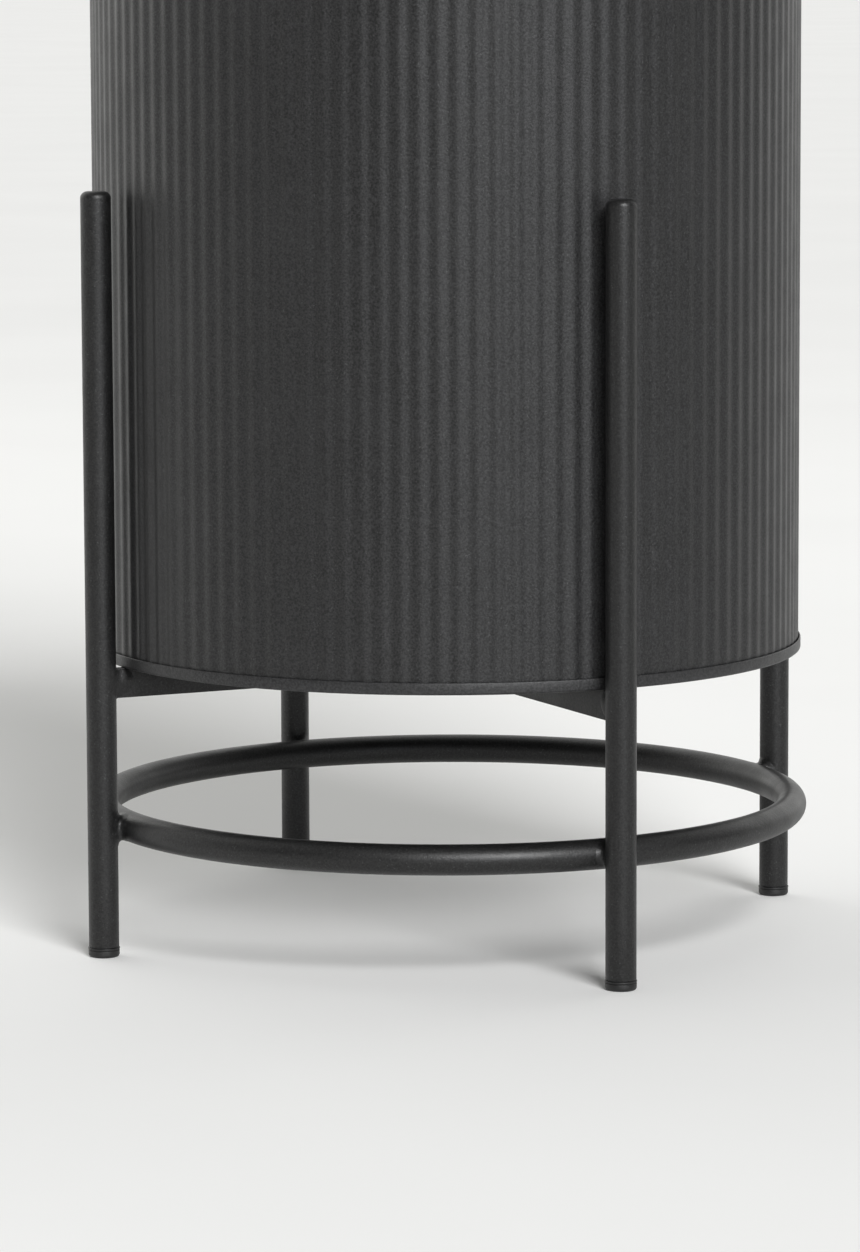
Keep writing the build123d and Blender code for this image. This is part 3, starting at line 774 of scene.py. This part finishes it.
def opening_bezel():
    """Pressed frame: a neck through the sheet, a soft bend and a flange that lies on the ribs."""
    neck_end = -5 * MM
    lip = FRAME_FLANGE + FRAME_SHEET - 0.6 * MM
    # Drawn a metre out, because sheet_outline gives an end on the axis no round edge.
    corners = [(1, neck_end), (1, FRAME_LIFT), (1 + lip, FRAME_LIFT)]
    section = [(p.x - 1, p.y) for p in sheet_outline(corners, 2.0 * MM, -FRAME_SHEET, 8)]
    loop = between(opening_loop())
    verts = []
    for point, outward in loop:
        for across, height in section:
            spot = point + outward * across
            radius = DRUM_RADIUS + height
            verts.append((spot.x, -math.sqrt(radius**2 - spot.x**2), OPENING_CENTRE + spot.y))
    count, total = len(section), len(loop)
    faces = []
    for k in range(total):
        here, ahead = k * count, (k + 1) % total * count
        for i in range(count):
            j = (i + 1) % count
            faces.append((here + i, ahead + i, ahead + j, here + j))
    return mesh_piece("litter_opening_bezel", verts, faces, 50)


finish_piece(opening_bezel(), DRUM_COAT, "drum", ["opening_frame"])


def rivet(length, head=3.2 * MM, height=1.2 * MM, shank=1.6 * MM):
    """Rivet along +Z: domed head at the top with a dimple in it, shank, and a flatter formed head below."""
    formed = [(0, 0.95), (0.55, 0.95), (0.85, 0.6), (0.9, 0)]
    outline = [(head * across, -length - height * down) for across, down in formed]
    outline += [(shank, -length), (shank, 0)]
    outline += [(head * c, height * s) for c, s in (polar(1, 15 * k) for k in range(6))]
    dimple = [(0.18, 0.93), (0.12, 0.78), (0, 0.76)]
    outline += [(head * across, height * up) for across, up in dimple]
    return turned(outline, 32)


def standing(part, origin, direction):
    """Part built along +Z, moved to an origin and pointed in a direction."""
    turn = Vector((0, 0, 1)).rotation_difference(Vector(direction)).to_matrix().to_4x4()
    return moved(part, Matrix.Translation(origin) @ turn)


rivets = []
spread = NECK_HALF_WIDTH + FRAME_FLANGE / 2
rise = NECK_HALF_HEIGHT + FRAME_FLANGE / 2
third = NECK_HALF_WIDTH * 2 / 3
places = [(-spread, 0), (spread, 0), (-third, -rise), (third, -rise), (-third, rise), (third, rise)]
for across, up in places:
    turn = math.asin(across / DRUM_RADIUS)
    direction = Vector((math.sin(turn), -math.cos(turn), 0))
    origin = direction * FRAME_FACE + Vector((0, 0, OPENING_CENTRE + up))
    rivets.append(standing(rivet(3.1 * MM), origin, direction))
frame_rivets = joined("bezel_rivets", rivets, 50)
finish_piece(frame_rivets, DRUM_COAT, "drum", ["frame_rivets"])

# ---------------------------------------------------------------- head
SKIRT_RADIUS = cover_high.x - COVER_SHEET
NECK_TOP = cover_high.z - COVER_SHEET
cover_outline = sheet_outline(
    [
        (SKIRT_RADIUS, cover_low.z + 0.6 * MM),
        (SKIRT_RADIUS, DRUM_TOP),
        (SKIRT_RADIUS - 12 * MM, DRUM_TOP),
        (NECK_RADIUS + 10 * MM, NECK_TOP),
        (NECK_RADIUS, NECK_TOP),
        (NECK_RADIUS, NECK_TOP - 13.4 * MM),
    ],
    [1.5 * MM, 5 * MM, 5 * MM, 1.5 * MM],
    -COVER_SHEET,
    10,
)
cover = mesh_piece("head_cover_spun", *turned(cover_outline, 360), sharp=50)
finish_piece(cover, DRUM_COAT, "head", ["head_cover"])

BOWL_SEAT = cover_high.z
BOWL_RADIUS = bowl_high.x - 8 * MM
BOWL_FLOOR = bowl_low.z
bowl_outline = sheet_outline(
    [
        (bowl_high.x - 0.5 * MM, BOWL_SEAT),
        (BOWL_RADIUS, BOWL_SEAT),
        (BOWL_RADIUS, BOWL_SEAT - 13 * MM),
        (BOWL_RADIUS - 8 * MM, BOWL_SEAT - 13 * MM),
        (BOWL_RADIUS - 14 * MM, BOWL_FLOOR),
        (0, BOWL_FLOOR),
    ],
    [1.4 * MM, 1.2 * MM, 1.2 * MM, 12 * MM],
    -BOWL_SHEET,
    9,
)
bowl = mesh_piece("ash_bowl_spun", *turned(bowl_outline, 288), sharp=50)
finish_piece(bowl, BOWL_ENAMEL, "ash_bowl", ["ash_bowl"])


def perforated_plate():
    """Round plate with rings of round holes and softened edges."""
    outline = bpy.data.curves.new("plate_outline", "CURVE")
    outline.dimensions = "2D"
    outline.fill_mode = "BOTH"
    soften = 0.18 * MM
    outline.extrude = (grille_high.z - grille_low.z) / 2 - soften
    outline.bevel_depth = soften
    outline.bevel_resolution = 2
    outline.offset = -soften

    def circle(centre, radius, points):
        spline = outline.splines.new("POLY")
        spline.points.add(points - 1)
        for k in range(points):
            x, y = polar(radius, 360 * k / points)
            spline.points[k].co = (centre[0] + x, centre[1] + y, 0, 1)
        spline.use_cyclic_u = True

    circle((0, 0), grille_high.x, 192)
    circle((0, 0), GRILLE_HOLE, 28)
    for ring_number in range(1, GRILLE_RINGS + 1):
        for k in range(6 * ring_number):
            circle(polar(ring_number * GRILLE_PITCH, 60 * k / ring_number), GRILLE_HOLE, 28)
    holder = bpy.data.objects.new("plate_outline", outline)
    bpy.context.scene.collection.objects.link(holder)
    mesh = bpy.data.meshes.new_from_object(holder.evaluated_get(bpy.context.evaluated_depsgraph_get()))
    bpy.data.objects.remove(holder)
    middle = (grille_low.z + grille_high.z) / 2
    verts = [(v.co.x, v.co.y, v.co.z + middle) for v in mesh.vertices]
    faces = [tuple(p.vertices) for p in mesh.polygons]
    bpy.data.meshes.remove(mesh)
    return mesh_piece("stub_grille_plate", verts, faces, 50)


finish_piece(perforated_plate(), GRILLE_STEEL, "stub_grille", ["stub_grille"])

# ---------------------------------------------------------------- liner
LINER_TOP = wall_high.z


def liner_outline():
    """Straight wall whose top edge is rolled outwards into a round bead."""
    middle = Vector((LINER_RADIUS - SHEET + BEAD_RADIUS, LINER_TOP - BEAD_RADIUS))
    foot = wall_low.z + 0.2 * MM
    heights = [foot] + [wall_low.z + (middle.y - wall_low.z) * k / 8 for k in range(1, 8)]
    inside = [Vector((LINER_RADIUS - SHEET, height)) for height in heights]
    bead = arc(middle, BEAD_RADIUS, 180, -135, 21)
    bead += arc(middle, BEAD_RADIUS - SHEET, -135, 165, 20)[:-1]
    outside = [Vector((LINER_RADIUS, middle.y - BEAD_RADIUS * 0.6)), Vector((LINER_RADIUS, foot))]
    return inside + bead + outside


liner = mesh_piece("liner_rolled_wall", *turned(liner_outline(), 288), sharp=50)
finish_piece(liner, ZINC, "liner", ["liner_wall"])
base_outline = sheet_outline(
    [(0, base_low.z), (base_high.x, base_low.z), (base_high.x, base_high.z - 0.4 * MM)],
    2 * MM,
    SHEET,
)
liner_base = mesh_piece("liner_pressed_base", *turned(base_outline, 288))
finish_piece(liner_base, ZINC, "liner", ["liner_base"])

EAR_SHEET = 2 * MM
EAR_WIDTH = ear_high.y - ear_low.y
EAR_FACE = ear_high.x - EAR_SHEET
EAR_TAB = 22 * MM
EAR_STEP = 5 * MM
EAR_RIVET_GAP = 11 * MM
WIRE_HOLE = WIRE_RADIUS + 0.4 * MM


def bail_ear():
    """Ear for the +X side: tab on the wall, step out past the bead, round top with the wire's hole."""
    tab_top = ear_low.z + EAR_TAB
    line = rounded(
        [
            (LINER_RADIUS, ear_low.z),
            (LINER_RADIUS, tab_top),
            (EAR_FACE, tab_top + EAR_STEP),
            (EAR_FACE, ear_high.z),
        ],
        2.2 * MM,
    )
    half = EAR_WIDTH / 2
    head_foot = PIVOT.z - half * 0.5
    around = 48
    rim, hole = [], []
    for k in range(around):
        c, s = polar(1, 360 * k / around + 90)
        hole.append((WIRE_HOLE * c, PIVOT.z + WIRE_HOLE * s))
        rim.append((half * c, PIVOT.z + half * s if s > 0 else PIVOT.z + half * 0.9 * s))
    verts, faces = [], []
    for x in (EAR_FACE, EAR_FACE + EAR_SHEET):
        verts += [(x, y, z) for y, z in rim] + [(x, y, z) for y, z in hole]
    back = 2 * around
    for k in range(around):
        n = (k + 1) % around
        faces.append((k, n, around + n, around + k))
        faces.append((back + k, back + around + k, back + around + n, back + n))
        faces.append((k, back + k, back + n, n))
        faces.append((around + k, around + n, back + around + n, back + around + k))
    strap_face = [p for p in line if p.y < head_foot] + [Vector((EAR_FACE, head_foot))]
    strap_back = shifted(strap_face, -EAR_SHEET)
    loop = strap_face + list(reversed(strap_back))
    start = len(verts)
    for y in (-half, half):
        verts += [(p.x, y, p.y) for p in loop]
    count = len(loop)
    for i in range(count):
        j = (i + 1) % count
        faces.append((start + i, start + j, start + count + j, start + count + i))
    faces.append(tuple(start + i for i in range(count)))
    faces.append(tuple(start + count + i for i in reversed(range(count))))
    return verts, faces


TURN_BACK = Matrix.Rotation(math.pi, 4, "Z")
ears = joined("bail_ear_brackets", [bail_ear(), moved(bail_ear(), TURN_BACK)], 40)
finish_piece(ears, ZINC, "liner", ["bail_ears"])
ear_rivet_parts = []
for offset in (-EAR_RIVET_GAP / 2, EAR_RIVET_GAP / 2):
    place = (LINER_RADIUS + EAR_SHEET, 0, ear_low.z + EAR_TAB / 2 + offset)
    part = standing(rivet(EAR_SHEET + SHEET), place, (1, 0, 0))
    ear_rivet_parts += [part, moved(part, TURN_BACK)]
ear_rivets = joined("ear_rivet_pairs", ear_rivet_parts, 50)
finish_piece(ear_rivets, RIVET_METAL, "liner", ["ear_rivets"])


def bail_path():
    """Half hoop over the liner's rear half with its ends turned out through the ears."""
    radius = bail_high.y - WIRE_RADIUS
    end = 5.0
    corner = radius / math.cos(math.radians(end))
    tip = bail_high.x
    turn_in = rounded([(tip, 0), (corner, 0), polar(radius, end)], 4 * MM, 8)
    hoop = arc((0, 0), radius, end, 180 - end, 90)[1:-1]
    turn_out = [Vector((-p.x, p.y)) for p in reversed(turn_in)]
    return [(p.x, p.y, PIVOT.z) for p in turn_in + hoop + turn_out]


bail = mesh_piece("bail_wire_handle", *swept(bail_path(), WIRE_RADIUS, 24), sharp=50)
finish_piece(bail, WIRE_STEEL, "bail", ["bail"])

# ---------------------------------------------------------------- floor, light, camera
FLOOR_HALF = 60.0
floor_corners = [(FLOOR_HALF * x, FLOOR_HALF * y, 0) for x, y in ((-1, -1), (1, -1), (1, 1), (-1, 1))]
floor = mesh_piece("studio_floor", floor_corners, [(0, 1, 2, 3)])
floor.data.materials.append(floor_paint("studio_floor"))

# Lens and sensor in millimetres. The sensor's width goes with the picture's longer side, its height.
CAMERA_LENS = 157.14
SENSOR_WIDTH = 36
CAMERA_DISTANCE = 2.3228
CAMERA_HEIGHT = 0.4364
CAMERA_TURN = 19.2
CAMERA_YAW = -0.186
CAMERA_PITCH = 7.518
CAMERA_ROLL = -0.218
KEY_TURN = CAMERA_TURN + 20


def toward(azimuth, distance, height):
    """Place seen from the bin at an azimuth from its front, counted towards +X."""
    a = math.radians(azimuth)
    return Vector((distance * math.sin(a), -distance * math.cos(a), height))


def studio_world(front, back):
    """Soft surrounding light: dimmer on the side of the camera, brighter behind the bin."""
    world = bpy.data.worlds.new("studio")
    world.use_nodes = True
    tree = world.node_tree
    background = tree.nodes["Background"]
    background.inputs["Color"].default_value = (1.0, 1.0, 0.98, 1)
    coords = tree.nodes.new("ShaderNodeTexCoord")
    across = tree.nodes.new("ShaderNodeVectorMath")
    across.operation = "DOT_PRODUCT"
    across.inputs[1].default_value = -toward(KEY_TURN, 1, 0)
    tree.links.new(coords.outputs["Generated"], across.inputs[0])
    strength = tree.nodes.new("ShaderNodeMapRange")
    strength.inputs["From Min"].default_value = -0.2
    strength.inputs["From Max"].default_value = 0.7
    strength.inputs["To Min"].default_value = front
    strength.inputs["To Max"].default_value = back
    tree.links.new(across.outputs["Value"], strength.inputs["Value"])
    tree.links.new(strength.outputs["Result"], background.inputs["Strength"])
    bpy.context.scene.world = world


def placed_light(name, kind, place, target, power, colour):
    """Light at a place, aimed at a target and never seen by the camera itself."""
    data = bpy.data.lights.new(name, kind)
    data.energy = power
    data.color = colour
    lamp = bpy.data.objects.new(name, data)
    bpy.context.scene.collection.objects.link(lamp)
    lamp.location = place
    lamp.rotation_euler = (Vector(target) - Vector(place)).to_track_quat("-Z", "Y").to_euler()
    lamp.visible_camera = False
    return data


def softbox(name, place, target, size, power, colour=(1, 1, 1)):
    """Soft rectangular light."""
    data = placed_light(name, "AREA", place, target, power, colour)
    data.shape = "RECTANGLE"
    data.size, data.size_y = size


studio_world(0.10, 1.20)
key = placed_light("key_sun", "SUN", toward(KEY_TURN, 1.68, 1.05), (0, 0, 0), 3.15, (1.0, 1.0, 1.0))
key.angle = math.radians(26)
BIN_MIDDLE = (0, 0, 0.35)
BOX_DISTANCE = 2.5
window = toward(CAMERA_TURN + 22, BOX_DISTANCE, 0.80)
right_side = toward(CAMERA_TURN + 128, BOX_DISTANCE, 1.10)
left_side = toward(CAMERA_TURN - 135, BOX_DISTANCE, 1.10)
softbox("tall_window", window, BIN_MIDDLE, (1.5, 0.8), 8.0, (0.90, 0.93, 1.0))
softbox("right_wall", right_side, BIN_MIDDLE, (1.6, 1.4), 4.4)
softbox("left_wall", left_side, BIN_MIDDLE, (1.6, 1.4), 5.4, (1.0, 1.0, 0.95))

heading = math.radians(CAMERA_YAW - CAMERA_TURN)
pitch, roll = math.radians(CAMERA_PITCH), math.radians(CAMERA_ROLL)
level = math.cos(pitch)
forward = Vector((math.sin(heading) * level, math.cos(heading) * level, -math.sin(pitch)))
right = Vector((math.cos(heading), -math.sin(heading), 0))
up = right.cross(forward)
right, up = right * math.cos(roll) + up * math.sin(roll), up * math.cos(roll) - right * math.sin(roll)
camera_data = bpy.data.cameras.new("camera")
camera_data.sensor_width = SENSOR_WIDTH
camera_data.lens = CAMERA_LENS
camera_data.clip_end = 200
camera = bpy.data.objects.new("camera", camera_data)
bpy.context.scene.collection.objects.link(camera)
turn = Matrix((right, up, -forward)).transposed().to_4x4()
camera.matrix_world = Matrix.Translation(toward(CAMERA_TURN, CAMERA_DISTANCE, CAMERA_HEIGHT)) @ turn
bpy.context.scene.camera = camera
bpy.context.scene.view_settings.view_transform = "Standard"
